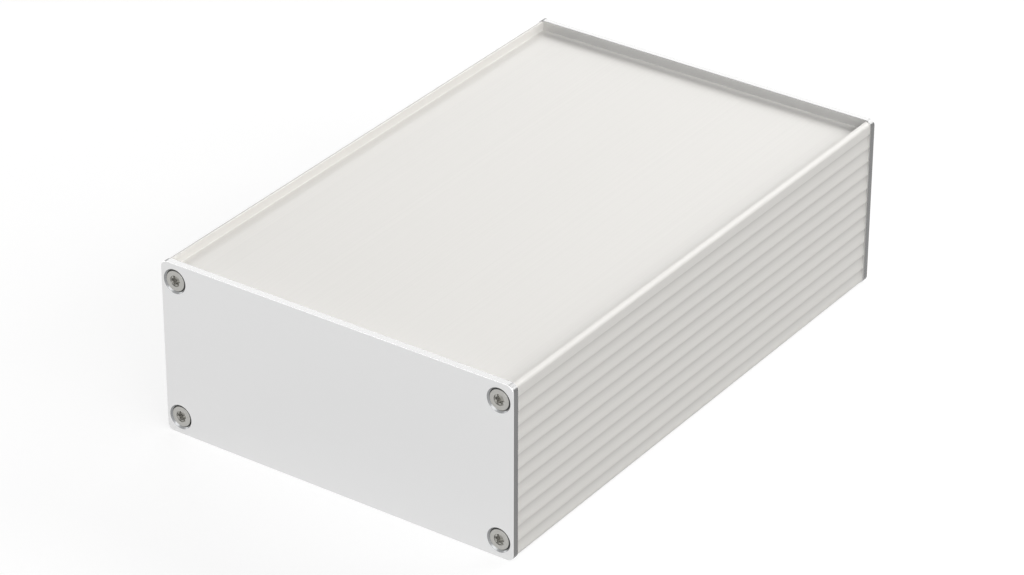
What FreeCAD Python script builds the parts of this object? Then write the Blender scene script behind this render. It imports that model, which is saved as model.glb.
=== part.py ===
import FreeCAD, Part
import os
import Sketcher

# Extruded aluminium enclosure: a ribbed tube of one section, closed at each end by a flat plate that
# four countersunk screws hold. Millimetres, +Z up, +Y from the front plate to the rear plate, with the
# origin at the middle of the outline on the surface that the enclosure stands on.

SIZES = {
    # End plates
    "plate_width": 105.0,
    "plate_height": 48.5,
    "plate_thickness": 2.0,
    "plate_corner_radius": 1.8,
    "plate_edge_break": 0.2,
    "plate_overhang": 0.3,
    # Extruded tube
    "profile_length": 160.0,
    "profile_corner_radius": 1.2,
    "rim_width": 1.4,
    "rim_inner_radius": 0.15,
    "recess_depth": 2.5,
    "recess_foot_radius": 0.6,
    "web_thickness": 1.6,
    "side_wall": 1.55,
    # Ribbed sides: like lapped boards, each rib leans out to a lip over the root of the next
    "rib_pitch": 4.0,
    "rib_step": 0.4,
    "rib_lip": 0.4,
    "rib_cove_radius": 0.3,
    "rib_top_band": 3.4,
    "rib_least_foot": 3.0,
    # Guides for a circuit board, here 100 mm wide with 0.25 mm to spare on each side
    "guide_depth": 2.5,
    "guide_slot": 1.8,
    "guide_pitch": 4.0,
    "guide_least_wall": 1.0,
    # Screws, drawn at the core of their thread, and the channels that the thread cuts into
    "screw_side_inset": 4.2,
    "screw_top_inset": 4.85,
    "screw_head_diameter": 5.5,
    "screw_neck_diameter": 2.7,
    "screw_core_diameter": 2.4,
    "screw_shank_length": 8.0,
    "screw_drive_diameter": 2.8,
    "screw_drive_depth": 1.0,
    "screw_lobe_diameter": 1.1,
    "screw_hole_diameter": 3.2,
    "channel_clearance": 0.1,
    "channel_mouth": 1.0,
    "boss_wall": 1.7,
    "boss_corner_radius": 0.8,
}

# Places that follow from the sizes, as expressions of the sheet
HALF_WIDTH = "(sizes.plate_width / 2 - sizes.plate_overhang)"
PROFILE_FOOT = "sizes.plate_overhang"
PROFILE_TOP = "(sizes.plate_height - sizes.plate_overhang)"
MID_HEIGHT = "(sizes.plate_height / 2)"
PROFILE_END = "(sizes.profile_length / 2)"
RIM_INSIDE = f"({HALF_WIDTH} - sizes.rim_width)"
RECESS_FLOOR = f"({PROFILE_TOP} - sizes.recess_depth)"
LOWER_RECESS = f"({PROFILE_FOOT} + sizes.recess_depth)"
CAVITY_TOP = f"({RECESS_FLOOR} - sizes.web_thickness)"
CAVITY_FOOT = f"({LOWER_RECESS} + sizes.web_thickness)"

RIB_ROOT = f"({HALF_WIDTH} - sizes.rib_step)"
TOP_LINE = f"({PROFILE_TOP} - sizes.rib_top_band)"
RIB_ROOM = f"({TOP_LINE} - {PROFILE_FOOT} - sizes.rib_least_foot)"
RIB_LINES = f"(floor({RIB_ROOM} / sizes.rib_pitch) + 1)"
RIB_END = f"({TOP_LINE} - sizes.rib_pitch + sizes.rib_lip)"

SCREW_X = "(sizes.plate_width / 2 - sizes.screw_side_inset)"
SCREW_HIGH = "(sizes.plate_height - sizes.screw_top_inset)"
SCREW_LOW = "sizes.screw_top_inset"
CHANNEL_BORE = "(sizes.screw_core_diameter + sizes.channel_clearance)"
BOSS_REACH = f"({CHANNEL_BORE} / 2 + sizes.boss_wall)"
BOSS_INSIDE = f"({SCREW_X} - {BOSS_REACH})"
BOSS_UNDERSIDE = f"({SCREW_HIGH} - {BOSS_REACH})"
BOSS_UPPER_SIDE = f"({SCREW_LOW} + {BOSS_REACH})"

SLOT_BOTTOM = f"({RIB_ROOT} - sizes.side_wall)"
GUIDE_TIP = f"({SLOT_BOTTOM} - sizes.guide_depth)"
GUIDE_HEIGHT = f"({BOSS_UNDERSIDE} - {BOSS_UPPER_SIDE} - 2 * sizes.guide_least_wall - sizes.guide_slot)"
GUIDE_SPACES = f"floor({GUIDE_HEIGHT} / sizes.guide_pitch)"
GUIDE_SLOTS = f"({GUIDE_SPACES} + 1)"
TOP_SLOT = f"({MID_HEIGHT} + sizes.guide_pitch * {GUIDE_SPACES} / 2)"

HEAD_HEIGHT = "((sizes.screw_head_diameter - sizes.screw_neck_diameter) / 2)"
SINK_MOUTH = "(sizes.screw_neck_diameter + 2 * sizes.plate_thickness)"
DRIVE_CORE = "(sizes.screw_drive_diameter - sizes.screw_lobe_diameter)"

# A rounding takes at most this share of the face that it runs along
ROUNDING_SHARE = 0.9
RIM_ROUNDING = (f"min(sizes.rim_inner_radius; "
                f"(sizes.rim_width - sizes.profile_corner_radius) * {ROUNDING_SHARE})")
COVE_ROUNDING = f"min(sizes.rib_cove_radius; sizes.rib_step * {ROUNDING_SHARE})"
BOSS_ROUNDING = f"min(sizes.boss_corner_radius; ({GUIDE_TIP} - {BOSS_INSIDE}) * {ROUNDING_SHARE})"

LOBES = 6
SINK_ANGLE = 90
POSITION_TOLERANCE = 1e-4


def make_sheet(doc):
    """Write each driving size into a cell of its own, under its name."""
    sheet = doc.addObject("Spreadsheet::Sheet", "sizes")
    for row, (alias, value) in enumerate(SIZES.items(), start=1):
        sheet.set(f"A{row}", alias)
        sheet.set(f"B{row}", str(value))
        sheet.setAlias(f"B{row}", alias)
    doc.recompute()
    return sheet


def number(doc, expression):
    """The present value of an expression of the sheet."""
    return float(doc.getObject("sizes").evalExpression(expression))


def new_body(doc, label):
    body = doc.addObject("PartDesign::Body", label)
    body.Label = label
    return body


def origin_part(body, role):
    """One of the body's own base planes or axes."""
    return next(part for part in body.Origin.OriginFeatures if part.Role == role)


def new_sketch(body, name, role, offset=None):
    """A sketch on one of the body's base planes, moved along the plane's normal by offset."""
    sketch = body.newObject("Sketcher::SketchObject", name)
    sketch.AttachmentSupport = [(origin_part(body, role), "")]
    sketch.MapMode = "FlatFace"
    if offset:
        sketch.setExpression("AttachmentOffset.Base.z", offset)
    return sketch


def hold(sketch, constraint, expression):
    """Add a dimension to a sketch and tie it to the sheet."""
    index = sketch.addConstraint(constraint)
    sketch.setExpression(f"Constraints[{index}]", expression)


def place_point(sketch, geometry, point, across, up):
    """Hold one point of a sketch at two distances from the sketch's origin."""
    doc = sketch.Document
    across_value = number(doc, across)
    up_value = number(doc, up)
    hold(sketch, Sketcher.Constraint("DistanceX", -1, 1, geometry, point, across_value), across)
    hold(sketch, Sketcher.Constraint("DistanceY", -1, 1, geometry, point, up_value), up)


def add_polygon(sketch, corners):
    """A closed outline of straight lines through corners, each a pair of expressions."""
    doc = sketch.Document
    points = [FreeCAD.Vector(number(doc, across), number(doc, up), 0) for across, up in corners]
    lines = []
    for start, end in zip(points, points[1:] + points[:1]):
        lines.append(sketch.addGeometry(Part.LineSegment(start, end), False))
    for line, following in zip(lines, lines[1:] + lines[:1]):
        sketch.addConstraint(Sketcher.Constraint("Coincident", line, 2, following, 1))
    for line, (across, up) in zip(lines, corners):
        place_point(sketch, line, 1, across, up)
    return lines


def add_circle(sketch, across, up, diameter):
    doc = sketch.Document
    centre = FreeCAD.Vector(number(doc, across), number(doc, up), 0)
    size = number(doc, diameter)
    circle = Part.Circle(centre, FreeCAD.Vector(0, 0, 1), size / 2)
    index = sketch.addGeometry(circle, False)
    place_point(sketch, index, 3, across, up)
    hold(sketch, Sketcher.Constraint("Diameter", index, size), diameter)
    return index


def mirrored(corners):
    """The mirror image of an outline in the middle plane."""
    return [(f"-{across}", up) for across, up in reversed(corners)]


def add_pad(body, name, sketch, length, both_ways=False):
    pad = body.newObject("PartDesign::Pad", name)
    pad.Profile = sketch
    pad.setExpression("Length", length)
    pad.Midplane = both_ways
    return pad


def add_cut_through(body, name, sketch):
    """A cut along the whole length of the body, both ways from its sketch."""
    cut = body.newObject("PartDesign::Pocket", name)
    cut.Profile = sketch
    cut.Type = "ThroughAll"
    cut.Midplane = True
    return cut


def add_row_down(body, name, feature, pitch, count):
    """Copies of a feature, one pitch apart, downwards from the first."""
    row = body.newObject("PartDesign::LinearPattern", name)
    row.Originals = [feature]
    row.Direction = (origin_part(body, "Z_Axis"), [""])
    row.Reversed = True
    row.Mode = "Spacing"
    row.setExpression("Offset", pitch)
    row.setExpression("Occurrences", count)
    body.Tip = row
    return row


def near(value, target):
    return abs(value - target) < POSITION_TOLERANCE


def runs_lengthwise(edge):
    return isinstance(edge.Curve, Part.Line) and near(abs(edge.Curve.Direction.y), 1)


def lengthwise_edges(body, across, heights):
    """The body's straight edges along Y that lie at plus or minus across, at one of the heights."""
    doc = body.Document
    doc.recompute()
    distance = number(doc, across)
    levels = [number(doc, height) for height in heights]
    names = []
    for index, edge in enumerate(body.Tip.Shape.Edges, start=1):
        middle = edge.CenterOfMass
        if not runs_lengthwise(edge):
            continue
        if near(abs(middle.x), distance) and any(near(middle.z, level) for level in levels):
            names.append(f"Edge{index}")
    return names


def round_lengthwise(body, name, across, heights, radius):
    edges = lengthwise_edges(body, across, heights)
    base = body.Tip
    fillet = body.newObject("PartDesign::Fillet", name)
    fillet.Base = (base, edges)
    fillet.setExpression("Radius", radius)
    body.Tip = fillet
    return fillet


def make_profile(doc):
    """The extruded tube: one section of rims, ribs, guides and screw channels, drawn out in length."""
    body = new_body(doc, "extruded_profile")

    outline = new_sketch(body, "OuterOutline", "XZ_Plane")
    right_side = [
        (RIM_INSIDE, LOWER_RECESS),
        (RIM_INSIDE, PROFILE_FOOT),
        (HALF_WIDTH, PROFILE_FOOT),
        (HALF_WIDTH, PROFILE_TOP),
        (RIM_INSIDE, PROFILE_TOP),
        (RIM_INSIDE, RECESS_FLOOR),
    ]
    add_polygon(outline, right_side + mirrored(right_side))
    add_pad(body, "Blank", outline, "sizes.profile_length", both_ways=True)

    hollow = new_sketch(body, "HollowOutline", "XZ_Plane")
    right_side = [
        (BOSS_INSIDE, CAVITY_FOOT),
        (BOSS_INSIDE, BOSS_UPPER_SIDE),
        (GUIDE_TIP, BOSS_UPPER_SIDE),
        (GUIDE_TIP, BOSS_UNDERSIDE),
        (BOSS_INSIDE, BOSS_UNDERSIDE),
        (BOSS_INSIDE, CAVITY_TOP),
    ]
    add_polygon(hollow, right_side + mirrored(right_side))
    add_cut_through(body, "Hollow", hollow)

    ends = (PROFILE_FOOT, PROFILE_TOP)
    round_lengthwise(body, "OuterCorners", HALF_WIDTH, ends, "sizes.profile_corner_radius")
    round_lengthwise(body, "RimInnerEdges", RIM_INSIDE, ends, RIM_ROUNDING)
    floors = (LOWER_RECESS, RECESS_FLOOR)
    round_lengthwise(body, "RecessFeet", RIM_INSIDE, floors, "sizes.recess_foot_radius")
    boss_sides = (BOSS_UPPER_SIDE, BOSS_UNDERSIDE)
    round_lengthwise(body, "BossCorners", BOSS_INSIDE, boss_sides, BOSS_ROUNDING)

    cut_ribs(body)
    cut_guides(body)
    cut_channels(body)
    return body


def cut_ribs(body):
    """The step below each lip, from its root out to the foot of the rib, down both sides."""
    steps = new_sketch(body, "RibStepOutline", "XZ_Plane")
    outside = f"({HALF_WIDTH} + sizes.rib_step)"
    right_step = [
        (RIB_ROOT, TOP_LINE),
        (HALF_WIDTH, RIB_END),
        (outside, RIB_END),
        (outside, TOP_LINE),
    ]
    add_polygon(steps, right_step)
    add_polygon(steps, mirrored(right_step))
    first = add_cut_through(body, "RibStep", steps)
    add_row_down(body, "RibSteps", first, "sizes.rib_pitch", RIB_LINES)
    lines = [f"({TOP_LINE} - {step} * sizes.rib_pitch)"
             for step in range(round(number(body.Document, RIB_LINES)))]
    round_lengthwise(body, "RibCoves", RIB_ROOT, lines, COVE_ROUNDING)


def cut_guides(body):
    """The slots that a board slides into, down both inner sides."""
    slots = new_sketch(body, "GuideSlotOutline", "XZ_Plane")
    slot_top = f"({TOP_SLOT} + sizes.guide_slot / 2)"
    slot_foot = f"({TOP_SLOT} - sizes.guide_slot / 2)"
    open_end = f"({GUIDE_TIP} - sizes.guide_slot)"
    right_slot = [
        (open_end, slot_foot),
        (SLOT_BOTTOM, slot_foot),
        (SLOT_BOTTOM, slot_top),
        (open_end, slot_top),
    ]
    add_polygon(slots, right_slot)
    add_polygon(slots, mirrored(right_slot))
    first = add_cut_through(body, "GuideSlot", slots)
    add_row_down(body, "GuideSlots", first, "sizes.guide_pitch", GUIDE_SLOTS)


def cut_channels(body):
    """A bore for each screw along its boss, open to the inside by a narrow mouth beside the web."""
    bores = new_sketch(body, "ChannelBoreOutline", "XZ_Plane")
    mouths = new_sketch(body, "ChannelMouthOutline", "XZ_Plane")
    open_end = f"({BOSS_INSIDE} - sizes.channel_mouth)"
    lower = (SCREW_LOW, CAVITY_FOOT, f"({CAVITY_FOOT} + sizes.channel_mouth)")
    upper = (SCREW_HIGH, f"({CAVITY_TOP} - sizes.channel_mouth)", CAVITY_TOP)
    for screw_height, mouth_foot, mouth_top in (lower, upper):
        right_mouth = [
            (open_end, mouth_foot),
            (SCREW_X, mouth_foot),
            (SCREW_X, mouth_top),
            (open_end, mouth_top),
        ]
        add_polygon(mouths, right_mouth)
        add_polygon(mouths, mirrored(right_mouth))
        add_circle(bores, SCREW_X, screw_height, CHANNEL_BORE)
        add_circle(bores, f"-{SCREW_X}", screw_height, CHANNEL_BORE)
    add_cut_through(body, "ChannelBores", bores)
    add_cut_through(body, "ChannelMouths", mouths)


def make_plate(doc, label):
    """An end plate with its back at the local origin and its outer face towards -Y."""
    body = new_body(doc, label)
    half = "(sizes.plate_width / 2)"

    outline = new_sketch(body, "PlateOutline", "XZ_Plane")
    add_polygon(outline, [(f"-{half}", "0"), (half, "0"),
                          (half, "sizes.plate_height"), (f"-{half}", "sizes.plate_height")])
    blank = add_pad(body, "PlateBlank", outline, "sizes.plate_thickness")
    doc.recompute()

    through = [f"Edge{index}" for index, edge in enumerate(blank.Shape.Edges, start=1)
               if runs_lengthwise(edge)]
    corners = body.newObject("PartDesign::Fillet", "PlateCorners")
    corners.Base = (blank, through)
    corners.setExpression("Radius", "sizes.plate_corner_radius")
    doc.recompute()

    face = min(corners.Shape.Faces, key=lambda candidate: candidate.CenterOfMass.y)
    face_name = next(f"Face{index}" for index, candidate in enumerate(corners.Shape.Faces, start=1)
                     if candidate.isSame(face))
    edge_break = body.newObject("PartDesign::Chamfer", "PlateEdgeBreak")
    edge_break.Base = (corners, [face_name])
    edge_break.setExpression("Size", "sizes.plate_edge_break")
    doc.recompute()

    centres = new_sketch(body, "ScrewHoleCentres", "XZ_Plane", offset="sizes.plate_thickness")
    for screw_height in (SCREW_LOW, SCREW_HIGH):
        add_circle(centres, SCREW_X, screw_height, "sizes.screw_hole_diameter")
        add_circle(centres, f"-{SCREW_X}", screw_height, "sizes.screw_hole_diameter")
    doc.recompute()
    holes = body.newObject("PartDesign::Hole", "ScrewHoles")
    holes.Profile = centres
    holes.DepthType = "ThroughAll"
    holes.setExpression("Diameter", "sizes.screw_hole_diameter")
    holes.HoleCutType = "Countersink"
    holes.HoleCutCustomValues = True
    holes.HoleCutCountersinkAngle = SINK_ANGLE
    holes.setExpression("HoleCutDiameter", SINK_MOUTH)
    body.Tip = holes
    return body


def make_screw(doc, label):
    """A countersunk screw on the local Y axis: its head towards -Y, its neck at the local origin."""
    body = new_body(doc, label)
    shank = "(sizes.screw_core_diameter / 2)"
    head = "(sizes.screw_head_diameter / 2)"

    outline = new_sketch(body, "ScrewOutline", "XY_Plane")
    add_polygon(outline, [
        ("0", f"-{HEAD_HEIGHT}"),
        (head, f"-{HEAD_HEIGHT}"),
        ("(sizes.screw_neck_diameter / 2)", "0"),
        (shank, "0"),
        (shank, "sizes.screw_shank_length"),
        ("0", "sizes.screw_shank_length"),
    ])
    turned = body.newObject("PartDesign::Revolution", "ScrewTurned")
    turned.Profile = outline
    turned.ReferenceAxis = (outline, ["V_Axis"])
    turned.Angle = 360
    doc.recompute()

    core = new_sketch(body, "DriveCoreOutline", "XZ_Plane", offset=HEAD_HEIGHT)
    add_circle(core, "0", "0", DRIVE_CORE)
    drive_core = body.newObject("PartDesign::Pocket", "DriveCore")
    drive_core.Profile = core
    drive_core.setExpression("Length", "sizes.screw_drive_depth")

    lobe = new_sketch(body, "DriveLobeOutline", "XZ_Plane", offset=HEAD_HEIGHT)
    add_circle(lobe, f"({DRIVE_CORE} / 2)", "0", "sizes.screw_lobe_diameter")
    drive_lobe = body.newObject("PartDesign::Pocket", "DriveLobe")
    drive_lobe.Profile = lobe
    drive_lobe.setExpression("Length", "sizes.screw_drive_depth")
    doc.recompute()

    lobes = body.newObject("PartDesign::PolarPattern", "DriveLobes")
    lobes.Originals = [drive_lobe]
    lobes.Axis = (origin_part(body, "Y_Axis"), [""])
    lobes.Angle = 360
    lobes.Occurrences = LOBES
    body.Tip = lobes
    return body


def seat(body, end, across="0", up="0"):
    """Put a piece made for the front at one end of the tube: the rear one is turned about +Z."""
    turn = 0 if end == "front" else 180
    sign = "-" if end == "front" else ""
    body.Placement = FreeCAD.Placement(FreeCAD.Vector(), FreeCAD.Rotation(FreeCAD.Vector(0, 0, 1), turn))
    body.setExpression("Placement.Base.x", across)
    body.setExpression("Placement.Base.y", f"{sign}{PROFILE_END}")
    body.setExpression("Placement.Base.z", up)


def make_screws(doc, end):
    """The four screws of one end plate."""
    screws = []
    for level, up in (("top", SCREW_HIGH), ("bottom", SCREW_LOW)):
        for side, across in (("left", f"-{SCREW_X}"), ("right", SCREW_X)):
            screw = make_screw(doc, f"{end}_screw_{level}_{side}")
            seat(screw, end, across, up)
            screws.append(screw)
    return screws


def check(doc, bodies):
    """Stop on a feature that failed or a piece that isn't one valid solid."""
    for item in doc.Objects:
        if "Invalid" in item.State or "Error" in item.State:
            raise RuntimeError(f"{item.Name} failed: {item.State}")
    for body in bodies:
        shape = body.Shape
        if shape.isNull() or not shape.isValid():
            raise RuntimeError(f"{body.Label} has no valid shape")
        if len(shape.Solids) != 1:
            raise RuntimeError(f"{body.Label} has {len(shape.Solids)} solids")


def main():
    doc = FreeCAD.newDocument("enclosure")
    make_sheet(doc)
    bodies = [make_profile(doc)]
    for end in ("front", "rear"):
        plate = make_plate(doc, f"{end}_plate")
        seat(plate, end)
        bodies.append(plate)
        bodies.extend(make_screws(doc, end))
    doc.recompute()
    check(doc, bodies)

    os.makedirs("parts", exist_ok=True)
    for body in bodies:
        body.Shape.exportStep(f"parts/{body.Label}.step")
        print(body.Label, round(body.Shape.Volume, 3), "mm3")


main()
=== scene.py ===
import math

import bmesh
import bpy
import numpy as np
from mathutils import Matrix, Vector
from mathutils.geometry import tessellate_polygon


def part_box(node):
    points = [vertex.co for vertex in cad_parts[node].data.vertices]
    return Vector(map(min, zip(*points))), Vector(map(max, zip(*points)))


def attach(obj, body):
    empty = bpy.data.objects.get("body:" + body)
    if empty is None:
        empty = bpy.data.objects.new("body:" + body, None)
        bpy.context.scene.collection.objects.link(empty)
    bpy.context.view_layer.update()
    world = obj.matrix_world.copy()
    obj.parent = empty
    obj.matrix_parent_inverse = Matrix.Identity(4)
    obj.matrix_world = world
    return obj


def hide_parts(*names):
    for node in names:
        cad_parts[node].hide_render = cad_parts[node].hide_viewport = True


# Extruded aluminium enclosure: a ribbed, clear anodised tube between two satin end plates, each held by
# four countersunk six-lobe screws. Lengths are in millimetres until a mesh is made, and x is across,
# y runs from the front plate to the rear plate and z is up.

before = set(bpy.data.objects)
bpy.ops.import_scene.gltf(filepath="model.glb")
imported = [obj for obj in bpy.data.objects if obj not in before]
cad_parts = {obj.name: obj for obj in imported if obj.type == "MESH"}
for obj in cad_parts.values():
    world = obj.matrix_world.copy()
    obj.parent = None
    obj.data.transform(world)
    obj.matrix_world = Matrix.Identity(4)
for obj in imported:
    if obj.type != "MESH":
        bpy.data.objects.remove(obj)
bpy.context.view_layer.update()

MM = 0.001
PROFILE = "extruded_profile"
ENDS = ("front", "rear")
CORNERS = [f"{level}_{side}" for level in ("top", "bottom") for side in ("left", "right")]

# Section of the tube.
CORNER_RADIUS = 1.2
RIM_WIDTH = 1.4
RIM_INNER_RADIUS = 0.15
RECESS_DEPTH = 2.5
RECESS_FOOT_RADIUS = 0.15
WEB = 1.6
SIDE_WALL = 1.55
RIB_PITCH = 4.0
RIB_STEP = 0.4
RIB_LIP = 0.4
RIB_COVE_RADIUS = 0.3
RIB_LIP_RADIUS = 0.08
RIB_CREST_RADIUS = 3.0
RIB_TOP_BAND = 3.4
RIB_LEAST_FOOT = 3.0
# How far below its root each rib carries painted shade
PAINTED_SHADE_REACH = 2.8
GUIDE_DEPTH = 2.5
GUIDE_SLOT = 1.8
GUIDE_PITCH = 4.0
GUIDES_EACH_WAY = 4
GUIDE_RADIUS = 0.15
CHANNEL_BORE = 2.5
CHANNEL_MOUTH = 1.0
BOSS_WALL = 1.7
BOSS_RADIUS = 0.8

# End plates
PLATE_CORNER_RADIUS = 1.8
PLATE_FACE_EDGE = 0.2
PLATE_BACK_EDGE = 0.05
SINK_EDGE = 0.06
HOLE = 3.2
NECK = 2.7

# Places in a plate's list of materials, after the sheet's own at 0: the cut edge with painted dark
# reflection, then the countersinks with painted shade
CUT_EDGE_PAINTED_DARK = 1
SINK_PAINTED_SHADE = 2

# Screws. HEAD_LAND is how far the face of the head stands above the CAD node's, the drive's depths start
# at that face, and THREAD_ROOT is the share of the pitch over which the thread's root is flat.
DRIVE_OUTER = 2.8
DRIVE_INNER = 2.05
DRIVE_DEPTH = 1.6
DRIVE_POINT = 0.25
DRIVE_MOUTH = 3.1
DRIVE_MOUTH_FOOT = 2.9
DRIVE_MOUTH_DEPTH = 0.35
HEAD_LAND = 0.4
HEAD_EDGE = 0.12
LOBES = 6
THREAD_CREST = 3.0
THREAD_CORE = 2.4
THREAD_PITCH = 1.1
THREAD_ROOT = 0.375
TIP_LENGTH = 0.2
TIP_TAPER = 0.4

# Meshes
ARC_STEPS = 8
CHANNEL_STEPS = 5 * ARC_STEPS
ROUND_STEPS = 96
THREAD_ROWS_PER_TURN = 14
STATIONS = 33
SHARP_ANGLE = math.radians(32)
WELD_DISTANCE = 0.002


def box_mm(node):
    """Lowest and highest corner of a CAD node, in millimetres."""
    low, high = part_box(node)
    return np.array(low) / MM, np.array(high) / MM


def rounded_outline(corners):
    """Points of a closed outline whose corners (across, up, radius) are rounded. Each arc starts where
    the side before it has radius times tan(half the turn) left to run, and goes round a centre one
    radius to the inside: centre + spoke turned by share times the turn, with share from 0 to 1."""
    corners = np.array(corners, float)
    points, radii = corners[:, :2], corners[:, 2:]
    before = points - np.roll(points, 1, axis=0)
    before /= np.linalg.norm(before, axis=1, keepdims=True)
    after = np.roll(before, -1, axis=0)
    cross = before[:, 0] * after[:, 1] - before[:, 1] * after[:, 0]
    turn = np.arctan2(cross, (before * after).sum(axis=1))[:, None]
    inward = np.sign(turn) * np.stack([-before[:, 1], before[:, 0]], axis=1)
    start = points - before * radii * np.tan(np.abs(turn) / 2)
    centre = start + inward * radii
    spoke = start - centre
    angle = turn * np.linspace(0, 1, ARC_STEPS + 1)
    cosine, sine = np.cos(angle), np.sin(angle)
    across = centre[:, :1] + spoke[:, :1] * cosine - spoke[:, 1:] * sine
    up = centre[:, 1:] + spoke[:, :1] * sine + spoke[:, 1:] * cosine
    outline = np.stack([across, up], axis=-1).reshape(-1, 2)
    apart = np.linalg.norm(outline - np.roll(outline, 1, axis=0), axis=1)
    return outline[apart > WELD_DISTANCE]


def both_sides(right):
    """The right half of an outline, from its foot up, followed by its mirror image down the left."""
    right = np.array(right, float)
    return np.concatenate([right, right[::-1] * (-1, 1, 1)])


def sharp(points):
    """Corner rows of radius 0 for points that already lie on a curve."""
    return np.column_stack([points, np.zeros(len(points))])


def circle_part(centre, radius, start, end, steps):
    """Points at centre + radius times (cosine, sine) of angles that run evenly from start to end."""
    angle = np.linspace(start, end, steps)
    return np.array(centre) + radius * np.column_stack([np.cos(angle), np.sin(angle)])


def grid_faces(rows, columns):
    """Four-sided faces of a grid of points, row after row, whose last column joins its first."""
    row, column = np.meshgrid(np.arange(rows - 1), np.arange(columns), indexing="ij")
    beside = (column + 1) % columns
    near, far = row * columns, (row + 1) * columns
    return np.stack([near + column, near + beside, far + beside, far + column], axis=-1).reshape(-1, 4)


class Shape:
    """Points and faces of one piece, gathered patch by patch and then welded into one mesh."""

    def __init__(self):
        self.points = []
        self.faces = []
        self.finishes = []
        self.count = 0

    def add(self, points, faces, finish=0):
        """A patch of points and faces. Its finish is its material's place in the piece's list."""
        self.points.append(points.reshape(-1, 3))
        self.faces.extend((faces + self.count).tolist())
        self.finishes.extend([finish] * len(faces))
        self.count += len(self.points[-1])

    def add_grid(self, points, finish=0):
        """A patch from an array of rows, columns and coordinates, closed from column to column."""
        self.add(points, grid_faces(points.shape[0], points.shape[1]), finish)

    def add_flat(self, outlines, y, finish=0):
        """The flat area inside the first outline and outside the others, at one place along y."""
        triangles = tessellate_polygon([outline.tolist() for outline in outlines])
        across_up = np.concatenate(outlines)
        points = np.column_stack([across_up[:, 0], np.full(len(across_up), y), across_up[:, 1]])
        self.add(points, np.array(triangles), finish)


def make_piece(name, shape, materials, replaced):
    """Weld a shape into a mesh object, face it outwards and let it ride with the enclosure."""
    mesh = bpy.data.meshes.new(name)
    mesh.from_pydata((np.concatenate(shape.points) * MM).tolist(), [], shape.faces)
    mesh.polygons.foreach_set("material_index", shape.finishes)
    for material in materials:
        mesh.materials.append(material)
    build = bmesh.new()
    build.from_mesh(mesh)
    bmesh.ops.remove_doubles(build, verts=build.verts, dist=WELD_DISTANCE * MM)
    bmesh.ops.recalc_face_normals(build, faces=build.faces)
    build.to_mesh(mesh)
    build.free()
    mesh.shade_smooth()
    mesh.set_sharp_from_angle(angle=SHARP_ANGLE)
    piece = bpy.data.objects.new(name, mesh)
    bpy.context.collection.objects.link(piece)
    flats = piece.modifiers.new("flat faces stay flat", "WEIGHTED_NORMAL")
    flats.keep_sharp = True
    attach(piece, "root")
    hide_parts(replaced)
    return piece


# Shapes

def rib_corners(half_width, foot, top):
    """One side's ribs from the lowest up: each leans in from its crest to a cove under the next lip. The
    lips lie one pitch apart below the top band, and a point on each slope ends its root's painted shade."""
    room = top - RIB_TOP_BAND - foot - RIB_LEAST_FOOT
    line = top - RIB_TOP_BAND - RIB_PITCH * np.arange(room // RIB_PITCH + 1)[::-1]
    crest = np.column_stack([np.full(len(line), half_width), line - RIB_PITCH + RIB_LIP,
                             np.full(len(line), RIB_CREST_RADIUS)])
    cove = np.column_stack([np.full(len(line), half_width - RIB_STEP), line,
                            np.full(len(line), RIB_COVE_RADIUS)])
    lip = np.column_stack([np.full(len(line), half_width), line, np.full(len(line), RIB_LIP_RADIUS)])
    share = PAINTED_SHADE_REACH / (RIB_PITCH - RIB_LIP)
    painted_shade_end = (cove + share * (crest - cove)) * (1, 1, 0)
    return np.stack([crest, painted_shade_end, cove, lip], axis=1).reshape(-1, 3)


def outer_section(half_width, foot, top):
    """The outside of the tube: recessed underside, rounded rims, ribbed sides and recessed top."""
    inside = half_width - RIM_WIDTH
    ribs = rib_corners(half_width, foot, top)
    lean = RIB_STEP / (RIB_PITCH - RIB_LIP)
    foot_across = half_width + lean * (ribs[0, 1] - foot)
    right = [(inside, foot + RECESS_DEPTH, RECESS_FOOT_RADIUS),
             (inside, foot, RIM_INNER_RADIUS),
             (foot_across, foot, CORNER_RADIUS),
             *ribs[1:],
             (half_width, top, CORNER_RADIUS),
             (inside, top, RIM_INNER_RADIUS),
             (inside, top - RECESS_DEPTH, RECESS_FOOT_RADIUS)]
    return rounded_outline(both_sides(right))


def inner_section(half_width, foot, top, screw):
    """The inside of the tube: four screw channels that open along the webs, and the board guides. The
    upper half is the lower half reflected in the middle."""
    middle = (foot + top) / 2
    floor = foot + RECESS_DEPTH + WEB
    reach = CHANNEL_BORE / 2 + BOSS_WALL
    slot_bottom = half_width - RIB_STEP - SIDE_WALL
    guide_tip = slot_bottom - GUIDE_DEPTH
    bore = CHANNEL_BORE / 2
    mouth_top = floor + CHANNEL_MOUTH
    start = math.pi + math.asin((screw[1] - floor) / bore)
    end = 3 * math.pi - math.asin((mouth_top - screw[1]) / bore)
    channel = sharp(circle_part(screw, bore, start, end, CHANNEL_STEPS))
    boss = [(screw[0] - reach, mouth_top, GUIDE_RADIUS),
            (screw[0] - reach, screw[1] + reach, BOSS_RADIUS),
            (guide_tip, screw[1] + reach, GUIDE_RADIUS)]
    slot = middle + GUIDE_PITCH * (np.arange(-GUIDES_EACH_WAY, 0) + 0.5)
    low, high = slot - GUIDE_SLOT / 2, slot + GUIDE_SLOT / 2
    across = np.array([guide_tip, slot_bottom, slot_bottom, guide_tip])
    up = np.column_stack([low, low, high, high])
    guides = np.column_stack([np.tile(across, len(slot)), up.ravel(), np.full(up.size, GUIDE_RADIUS)])
    lower = np.concatenate([channel, boss, guides])
    upper = lower[::-1] * (1, -1, 1) + (0, 2 * middle, 0)
    return rounded_outline(both_sides(np.concatenate([lower, upper])))


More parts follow.
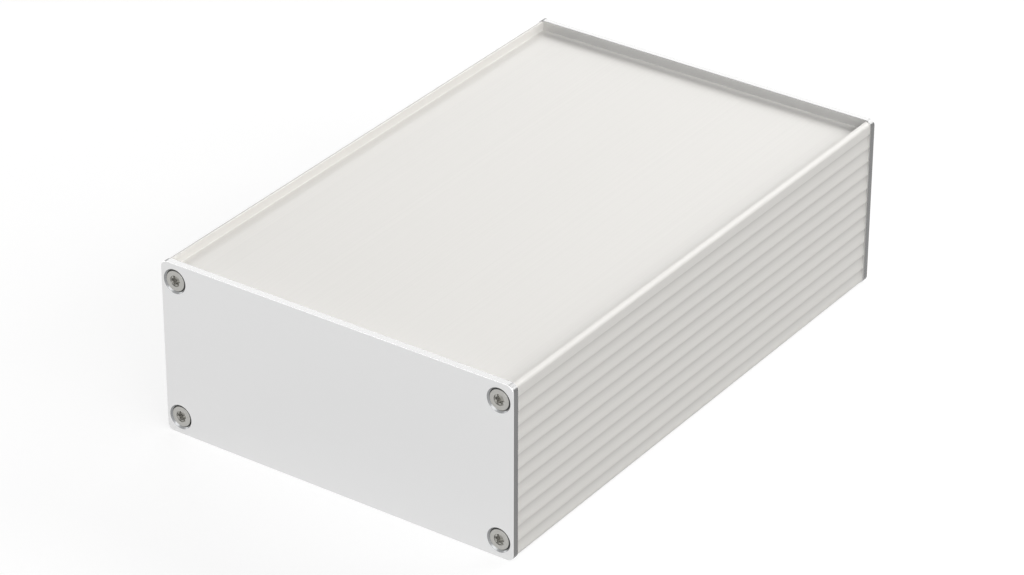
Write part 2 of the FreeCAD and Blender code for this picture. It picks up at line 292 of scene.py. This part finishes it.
def make_profile(materials):
    """The tube: both outlines carried in even stations along y and closed by a flat ring at each end."""
    low, high = box_mm(PROFILE)
    screw_low, screw_high = box_mm("front_screw_bottom_right")
    screw = ((screw_low[0] + screw_high[0]) / 2, (screw_low[2] + screw_high[2]) / 2)
    outlines = [outer_section(high[0], low[2], high[2]),
                inner_section(high[0], low[2], high[2], screw)]
    shape = Shape()
    y = np.linspace(low[1], high[1], STATIONS)
    for outline in outlines:
        across, along = np.meshgrid(outline[:, 0], y)
        up = np.broadcast_to(outline[:, 1], across.shape)
        shape.add_grid(np.stack([across, along, up], axis=-1))
    for end in (low[1], high[1]):
        shape.add_flat(outlines, end)
    piece = make_piece("extruded_profile_surface", shape, materials, PROFILE)
    paint_root_shade(piece.data, high[0], high[2] - RIB_TOP_BAND)


def paint_root_shade(mesh, half_width, top_line):
    """An attribute of painted shade: 1 in the root of each rib, falling evenly to 0 a set reach below
    it.
    """
    places = np.empty(3 * len(mesh.vertices))
    mesh.vertices.foreach_get("co", places)
    across, _, up = places.reshape(-1, 3).T / MM
    below = top_line + WELD_DISTANCE - up
    shade = np.clip(1 - (below % RIB_PITCH) / PAINTED_SHADE_REACH, 0, 1)
    on_ribs = (np.abs(across) > half_width - RIB_STEP - WELD_DISTANCE) & (below > 0)
    attribute = mesh.attributes.new("painted_root_shade", "FLOAT", "POINT")
    attribute.data.foreach_set("value", (shade * on_ribs).astype(np.float32))


def plate_ring(low, high, inset):
    """A rectangle with rounded corners, drawn in by inset on every side."""
    radius = PLATE_CORNER_RADIUS - inset
    left, right = low[0] + inset, high[0] - inset
    foot, top = low[2] + inset, high[2] - inset
    return rounded_outline([(left, foot, radius), (right, foot, radius),
                            (right, top, radius), (left, top, radius)])


def make_plate(end, materials):
    """A plate: its rim is the rounded rectangle carried through the thickness while its inset follows a
    quarter circle at the face, and each hole is a circle whose radius follows the countersink."""
    low, high = box_mm(f"{end}_plate")
    face, back = (low[1], high[1]) if end == "front" else (high[1], low[1])
    inwards = np.sign(back - face)
    thickness = abs(back - face)
    shape = Shape()

    turn = np.linspace(0, math.pi / 2, ARC_STEPS + 1)
    inset = np.concatenate([PLATE_FACE_EDGE * (1 - np.sin(turn)), [0, PLATE_BACK_EDGE]])
    depth = np.concatenate([PLATE_FACE_EDGE * (1 - np.cos(turn)),
                            [thickness - PLATE_BACK_EDGE, thickness]])
    rings = np.stack([plate_ring(low, high, value) for value in inset])
    along = np.broadcast_to((face + inwards * depth)[:, None], rings.shape[:2])
    rim = np.stack([rings[..., 0], along, rings[..., 1]], axis=-1)
    shape.add_grid(rim[:len(turn)])
    shape.add_grid(rim[len(turn) - 1:], CUT_EDGE_PAINTED_DARK)

    mouth = NECK / 2 + thickness
    sink_turn = np.linspace(0, math.pi / 4, ARC_STEPS // 2 + 1)
    reach = SINK_EDGE * math.tan(math.pi / 8)
    lip_radius = mouth + reach - SINK_EDGE * np.sin(sink_turn)
    lip_depth = SINK_EDGE * (1 - np.cos(sink_turn))
    radius = np.concatenate([lip_radius, [HOLE / 2, HOLE / 2]])
    depth = np.concatenate([lip_depth, [mouth - HOLE / 2, thickness]])
    angle = np.linspace(0, math.tau, ROUND_STEPS, endpoint=False)
    faces_cut, backs_cut = [rings[0]], [rings[-1]]
    for corner in CORNERS:
        screw_low, screw_high = box_mm(f"{end}_screw_{corner}")
        centre = (screw_low + screw_high) / 2
        across = centre[0] + radius[:, None] * np.cos(angle)
        up = centre[2] + radius[:, None] * np.sin(angle)
        along = np.broadcast_to((face + inwards * depth)[:, None], across.shape)
        shape.add_grid(np.stack([across, along, up], axis=-1), SINK_PAINTED_SHADE)
        faces_cut.append(np.column_stack([across[0], up[0]]))
        backs_cut.append(np.column_stack([across[-1], up[-1]]))
    shape.add_flat(faces_cut, face)
    shape.add_flat(backs_cut, back)
    make_piece(f"{end}_plate_surface", shape, materials, f"{end}_plate")


def make_screw(name, inwards, materials):
    """A screw as a polar grid: radius is a function of the angle and of the row, from the bottom of the
    drive recess over the head to the tip. In the star recess it is the mean of the lobe radii plus half
    their difference times the cosine of six times the angle. A round mouth and the head's land, raised
    above the CAD node's, surround it. On the thread it rises and falls with depth over pitch plus the
    angle's share of a turn."""
    low, high = box_mm(name)
    centre = (low + high) / 2
    top, tip = (low[1], high[1]) if inwards > 0 else (high[1], low[1])
    length = abs(tip - top)
    head = (high[0] - low[0]) / 2
    angle = np.linspace(0, math.tau, ROUND_STEPS, endpoint=False)

    lobe = (DRIVE_OUTER + DRIVE_INNER) / 4 + (DRIVE_OUTER - DRIVE_INNER) / 4 * np.cos(LOBES * angle)
    recess = np.array([(0, DRIVE_DEPTH + DRIVE_POINT), (1, DRIVE_DEPTH), (1, DRIVE_MOUTH_DEPTH)])
    recess_radius = recess[:, :1] * lobe
    recess_depth = recess[:, 1] - HEAD_LAND

    turn = np.linspace(0, math.pi / 2, ARC_STEPS + 1)
    rim_radius = head - HEAD_EDGE + HEAD_EDGE * np.sin(turn)
    rim_depth = HEAD_EDGE * (1 - np.cos(turn)) - HEAD_LAND
    neck_depth = head - NECK / 2
    plain = np.concatenate([[DRIVE_MOUTH_FOOT / 2, DRIVE_MOUTH / 2], rim_radius,
                            [head, NECK / 2, THREAD_CORE / 2]])
    plain_depth = np.concatenate([[DRIVE_MOUTH_DEPTH - HEAD_LAND, -HEAD_LAND], rim_depth,
                                  [0, neck_depth, neck_depth + (NECK - THREAD_CORE) / 2]])

    thread_start = plain_depth[-1]
    turns = (length - thread_start) / THREAD_PITCH
    rows = round(turns * THREAD_ROWS_PER_TURN)
    depth = np.linspace(thread_start, length - TIP_LENGTH, rows)
    phase = (depth[:, None] - thread_start) / THREAD_PITCH + angle / math.tau
    wave = np.clip((np.abs(2 * (phase % 1) - 1) - THREAD_ROOT) / (1 - THREAD_ROOT), 0, 1)
    ends = np.clip(np.minimum(depth - thread_start, length - depth) / THREAD_PITCH, 0, 1)[:, None]
    thread = THREAD_CORE / 2 + (THREAD_CREST - THREAD_CORE) / 2 * wave * ends

    tip_radius = np.array([THREAD_CORE / 2 - TIP_TAPER, 0])
    radius = np.concatenate([recess_radius, np.repeat(plain[:, None], ROUND_STEPS, axis=1), thread,
                             np.repeat(tip_radius[:, None], ROUND_STEPS, axis=1)])
    depths = np.concatenate([recess_depth, plain_depth, depth, [length, length]])
    across = centre[0] + radius * np.cos(angle)
    along = np.broadcast_to((top + inwards * depths)[:, None], radius.shape)
    up = centre[2] + radius * np.sin(angle)
    shape = Shape()
    shape.add_grid(np.stack([across, along, up], axis=-1))
    make_piece(f"{name}_surface", shape, materials, name)


# Materials

# Grain sizes across, along and up, and grain heights, in millimetres
DIE_LINE_GRAIN = (0.35, 160.0, 0.35)
ETCH_GRAIN = (0.12, 0.12, 0.12)
SHEET_GRAIN = (0.2, 0.2, 0.2)
CUT_GRAIN = (0.2, 60.0, 60.0)
TUMBLED_GRAIN = (0.15, 0.15, 0.15)
DIE_LINE_HEIGHT = 0.004
ETCH_HEIGHT = 0.004
SHEET_HEIGHT = 0.001
TUMBLED_HEIGHT = 0.004

# Lowest and highest roughness, and how far a sheet's roughness goes either way
EXTRUSION_ROUGHNESS = (0.42, 0.50)
STEEL_ROUGHNESS = (0.33, 0.42)
SHEET_SPREAD = 0.02

# The noise texture and the middle half of its values, between which a roughness runs
NOISE_DETAIL = 2.0
NOISE_ROUGHNESS = 0.6
NOISE_LOW = 0.25
NOISE_HIGH = 0.75

# How much of the extrusion shines as bare metal, and the painted shade in its ribs' roots
EXTRUSION_METALLIC = 0.06
PAINTED_ROOT_DARKENING = 0.25
PAINTED_SHADE_FALLOFF = 2.0

WHITE = "ffffff"
BLACK = "000000"


def linear(code):
    """A linear colour from an sRGB hex code, by the sRGB standard's curve."""
    value = np.array([int(code[place:place + 2], 16) for place in (0, 2, 4)]) / 255
    value = np.where(value <= 0.04045, value / 12.92, ((value + 0.055) / 1.055) ** 2.4)
    return (*value.tolist(), 1.0)


def add_node(tree, kind, settings, inputs):
    """Add one node with its own settings, and give each input a value or the output that feeds it."""
    node = tree.nodes.new(kind)
    for key, value in settings.items():
        setattr(node, key, value)
    for key, value in inputs.items():
        if isinstance(value, bpy.types.NodeSocket):
            tree.links.new(value, node.inputs[key])
        else:
            node.inputs[key].default_value = value
    return node


def new_material(name):
    """A new material, its node tree and the shader that its surface shows."""
    material = bpy.data.materials.new(name)
    material.use_nodes = True
    return material, material.node_tree, material.node_tree.nodes["Principled BSDF"]


def stretched_noise(tree, grain):
    """Noise whose grain has the given size along each axis, in millimetres."""
    place = add_node(tree, "ShaderNodeTexCoord", {}, {})
    mapping = add_node(tree, "ShaderNodeMapping", {}, {
        "Vector": place.outputs["Object"], "Scale": tuple(1 / (size * MM) for size in grain)})
    return add_node(tree, "ShaderNodeTexNoise", {}, {
        "Vector": mapping.outputs["Vector"], "Scale": 1.0,
        "Detail": NOISE_DETAIL, "Roughness": NOISE_ROUGHNESS})


def anodised_extrusion():
    """Clear anodised 6060 aluminium extrusion, etched before anodising: a silky, slightly warm grey that
    scatters most of its light, with faint die lines along its length, and painted shade that darkens
    each rib below its root. Lines and etch are drawn about three times as coarse as real ones so that
    they show."""
    material, tree, shader = new_material("clear anodised aluminium extrusion")
    shader.inputs["Metallic"].default_value = EXTRUSION_METALLIC
    lines = stretched_noise(tree, DIE_LINE_GRAIN)
    etch = stretched_noise(tree, ETCH_GRAIN)
    colour = add_node(tree, "ShaderNodeMix", {"data_type": "RGBA"}, {
        "Factor": lines.outputs["Fac"], "A": linear("d7d5d1"), "B": linear("dfddd9")})
    # Painted shade: the ribs' roots are mixed towards black, fading below each lip
    root = add_node(tree, "ShaderNodeAttribute", {"attribute_name": "painted_root_shade"}, {})
    near_root = add_node(tree, "ShaderNodeMath", {"operation": "POWER"}, {
        0: root.outputs["Fac"], 1: PAINTED_SHADE_FALLOFF})
    painted_darkening = add_node(tree, "ShaderNodeMath", {"operation": "MULTIPLY"}, {
        0: near_root.outputs["Value"], 1: PAINTED_ROOT_DARKENING})
    shaded = add_node(tree, "ShaderNodeMix", {"data_type": "RGBA"}, {
        "Factor": painted_darkening.outputs["Value"], "A": colour.outputs["Result"], "B": linear(BLACK)})
    tree.links.new(shaded.outputs["Result"], shader.inputs["Base Color"])
    rough = add_node(tree, "ShaderNodeMapRange", {}, {
        "Value": lines.outputs["Fac"], "From Min": NOISE_LOW, "From Max": NOISE_HIGH,
        "To Min": EXTRUSION_ROUGHNESS[0], "To Max": EXTRUSION_ROUGHNESS[1]})
    tree.links.new(rough.outputs["Result"], shader.inputs["Roughness"])
    line_bump = add_node(tree, "ShaderNodeBump", {}, {
        "Height": lines.outputs["Fac"], "Distance": DIE_LINE_HEIGHT * MM})
    etch_bump = add_node(tree, "ShaderNodeBump", {}, {
        "Height": etch.outputs["Fac"], "Distance": ETCH_HEIGHT * MM,
        "Normal": line_bump.outputs["Normal"]})
    tree.links.new(etch_bump.outputs["Normal"], shader.inputs["Normal"])
    return material


def anodised_sheet(name, colours, roughness, grain):
    """Clear anodised aluminium sheet: neutral and silkier than the extrusion. Cut edges and countersinks
    get darker colours here as painted dark reflection and painted shade. Its grain is drawn coarser than
    the real one so that it shows."""
    material, tree, shader = new_material(name)
    shader.inputs["Metallic"].default_value = 1.0
    noise = stretched_noise(tree, grain)
    colour = add_node(tree, "ShaderNodeMix", {"data_type": "RGBA"}, {
        "Factor": noise.outputs["Fac"], "A": linear(colours[0]), "B": linear(colours[1])})
    tree.links.new(colour.outputs["Result"], shader.inputs["Base Color"])
    rough = add_node(tree, "ShaderNodeMapRange", {}, {
        "Value": noise.outputs["Fac"], "From Min": NOISE_LOW, "From Max": NOISE_HIGH,
        "To Min": roughness - SHEET_SPREAD, "To Max": roughness + SHEET_SPREAD})
    tree.links.new(rough.outputs["Result"], shader.inputs["Roughness"])
    bump = add_node(tree, "ShaderNodeBump", {}, {
        "Height": noise.outputs["Fac"], "Distance": SHEET_HEIGHT * MM})
    tree.links.new(bump.outputs["Normal"], shader.inputs["Normal"])
    return material


def tumbled_steel():
    """Plain stainless steel, cold headed and tumbled: a warm grey with a soft even sheen. Its grain is
    drawn coarser than the real one so that it shows."""
    material, tree, shader = new_material("tumbled stainless steel")
    shader.inputs["Metallic"].default_value = 1.0
    noise = stretched_noise(tree, TUMBLED_GRAIN)
    colour = add_node(tree, "ShaderNodeMix", {"data_type": "RGBA"}, {
        "Factor": noise.outputs["Fac"], "A": linear("afaeaa"), "B": linear("bbbab6")})
    tree.links.new(colour.outputs["Result"], shader.inputs["Base Color"])
    rough = add_node(tree, "ShaderNodeMapRange", {}, {
        "Value": noise.outputs["Fac"], "From Min": NOISE_LOW, "From Max": NOISE_HIGH,
        "To Min": STEEL_ROUGHNESS[0], "To Max": STEEL_ROUGHNESS[1]})
    tree.links.new(rough.outputs["Result"], shader.inputs["Roughness"])
    bump = add_node(tree, "ShaderNodeBump", {}, {
        "Height": noise.outputs["Fac"], "Distance": TUMBLED_HEIGHT * MM})
    tree.links.new(bump.outputs["Normal"], shader.inputs["Normal"])
    return material


# Studio

# The camera, fitted to the photograph: angles in degrees, lens and sensor in millimetres
AZIMUTH = 34.916
ELEVATION = 29.901
ROLL = 0.067
AIM = Vector((-8.26, 4.425, 14.532)) * MM
DISTANCE = 1060.05 * MM
LENS = 144.68
SENSOR = 36
CLIP_NEAR = 0.01
CLIP_FAR = 20

# Lamps, floor and world, in metres. Floor and world are brighter to a ray that shows them than to one
# that lights the object.
LAMP_DISTANCE = 1.6
FLOOR_SIZE = 8.0
FLOOR_BOUNCE = "606060"
FLOOR_SEEN = "8c8c8c"
FLOOR_GLOW = 0.8
WORLD_FILL = 0.06
WORLD_SEEN = 1.0


def outwards(azimuth, elevation):
    """The unit vector towards a camera or lamp at these angles, in degrees: azimuth 0 is in front and
    90 is on the right."""
    turn, rise = math.radians(azimuth), math.radians(elevation)
    return Vector((math.sin(turn) * math.cos(rise), -math.cos(turn) * math.cos(rise), math.sin(rise)))


def make_camera():
    """The photograph's camera: it looks at AIM from DISTANCE, rolled a little about its own axis."""
    back = outwards(AZIMUTH, ELEVATION)
    roll = math.radians(ROLL)
    level = Vector((math.cos(math.radians(AZIMUTH)), math.sin(math.radians(AZIMUTH)), 0))
    right = math.cos(roll) * level + math.sin(roll) * back.cross(level)
    up = back.cross(right)
    data = bpy.data.cameras.new("camera")
    data.lens = LENS
    data.sensor_width = SENSOR
    data.clip_start = CLIP_NEAR
    data.clip_end = CLIP_FAR
    camera = bpy.data.objects.new("camera", data)
    bpy.context.collection.objects.link(camera)
    turned = Matrix((right, up, back)).transposed().to_4x4()
    camera.matrix_world = Matrix.Translation(AIM + back * DISTANCE) @ turned
    bpy.context.scene.camera = camera


def add_softbox(name, azimuth, elevation, width, height, radiance):
    """A rectangular lamp that faces the object. Its power in watts is radiance times area times pi."""
    data = bpy.data.lights.new(name, "AREA")
    data.shape = "RECTANGLE"
    data.size = width
    data.size_y = height
    data.energy = radiance * width * height * math.pi
    lamp = bpy.data.objects.new(name, data)
    bpy.context.collection.objects.link(lamp)
    direction = outwards(azimuth, elevation)
    lamp.location = direction * LAMP_DISTANCE
    lamp.rotation_mode = "QUATERNION"
    lamp.rotation_quaternion = direction.to_track_quat("Z", "Y")


def seen_directly(tree):
    """1 for rays that show a surface, straight, in a reflection or through glass, and 0 for the rest."""
    path = add_node(tree, "ShaderNodeLightPath", {}, {})
    seen = add_node(tree, "ShaderNodeMath", {"operation": "ADD"}, {
        0: path.outputs["Is Camera Ray"], 1: path.outputs["Is Glossy Ray"]})
    return add_node(tree, "ShaderNodeMath", {"operation": "ADD", "use_clamp": True}, {
        0: seen.outputs["Value"], 1: path.outputs["Is Transmission Ray"]})


def make_floor():
    """A white floor that keeps the object's shadow, and throws less light on it than white would."""
    half = FLOOR_SIZE / 2
    corners = [(-half, -half, 0), (half, -half, 0), (half, half, 0), (-half, half, 0)]
    mesh = bpy.data.meshes.new("floor")
    mesh.from_pydata(corners, [], [(0, 1, 2, 3)])
    floor = bpy.data.objects.new("floor", mesh)
    bpy.context.collection.objects.link(floor)
    material, tree, shader = new_material("matt white studio floor")
    shader.inputs["Roughness"].default_value = 1.0
    shader.inputs["Specular IOR Level"].default_value = 0.0
    seen = seen_directly(tree)
    colour = add_node(tree, "ShaderNodeMix", {"data_type": "RGBA"}, {
        "Factor": seen.outputs["Value"], "A": linear(FLOOR_BOUNCE), "B": linear(FLOOR_SEEN)})
    tree.links.new(colour.outputs["Result"], shader.inputs["Base Color"])
    glow = add_node(tree, "ShaderNodeMath", {"operation": "MULTIPLY"}, {
        0: seen.outputs["Value"], 1: FLOOR_GLOW})
    shader.inputs["Emission Color"].default_value = linear(WHITE)
    tree.links.new(glow.outputs["Value"], shader.inputs["Emission Strength"])
    mesh.materials.append(material)


def make_world():
    """A world that shows as plain white and gives the object only a faint fill light."""
    world = bpy.data.worlds.new("studio")
    bpy.context.scene.world = world
    world.use_nodes = True
    tree = world.node_tree
    background = tree.nodes["Background"]
    background.inputs["Color"].default_value = linear(WHITE)
    strength = add_node(tree, "ShaderNodeMapRange", {}, {
        "Value": seen_directly(tree).outputs["Value"], "To Min": WORLD_FILL, "To Max": WORLD_SEEN})
    tree.links.new(strength.outputs["Result"], background.inputs["Strength"])


# The enclosure in its studio

extrusion = anodised_extrusion()
sheet = anodised_sheet("clear anodised aluminium sheet", ("dddddd", "e3e3e3"),
                       roughness=0.34, grain=SHEET_GRAIN)
# Painted dark reflection on the cut edges: a darker sheet colour
cut_edge_painted_dark = anodised_sheet("clear anodised cut edge, painted dark reflection", ("737373", "7e7e7e"),
                          roughness=0.22, grain=CUT_GRAIN)
# Painted shade in the countersinks: a darker sheet colour
countersink = anodised_sheet("clear anodised countersink, painted shade", ("8f9091", "9a9b9c"),
                             roughness=0.26, grain=SHEET_GRAIN)
steel = tumbled_steel()

make_profile([extrusion])
for end in ENDS:
    make_plate(end, [sheet, cut_edge_painted_dark, countersink])
    for corner in CORNERS:
        make_screw(f"{end}_screw_{corner}", 1 if end == "front" else -1, [steel])

make_camera()
make_floor()
make_world()
add_softbox("left softbox", azimuth=-92, elevation=10, width=2.4, height=0.5, radiance=1.45)
add_softbox("right rear softbox", azimuth=151, elevation=26, width=1.2, height=0.8, radiance=3.9)
add_softbox("right softbox", azimuth=80, elevation=26, width=1.8, height=1.0, radiance=2.6)
add_softbox("rear softbox", azimuth=213, elevation=31, width=0.9, height=0.55, radiance=3.8)
add_softbox("high rear softbox", azimuth=174, elevation=44, width=1.0, height=0.45, radiance=3.8)
add_softbox("front softbox", azimuth=22, elevation=38, width=1.9, height=0.6, radiance=2.0)
bpy.context.scene.view_settings.view_transform = "Standard"
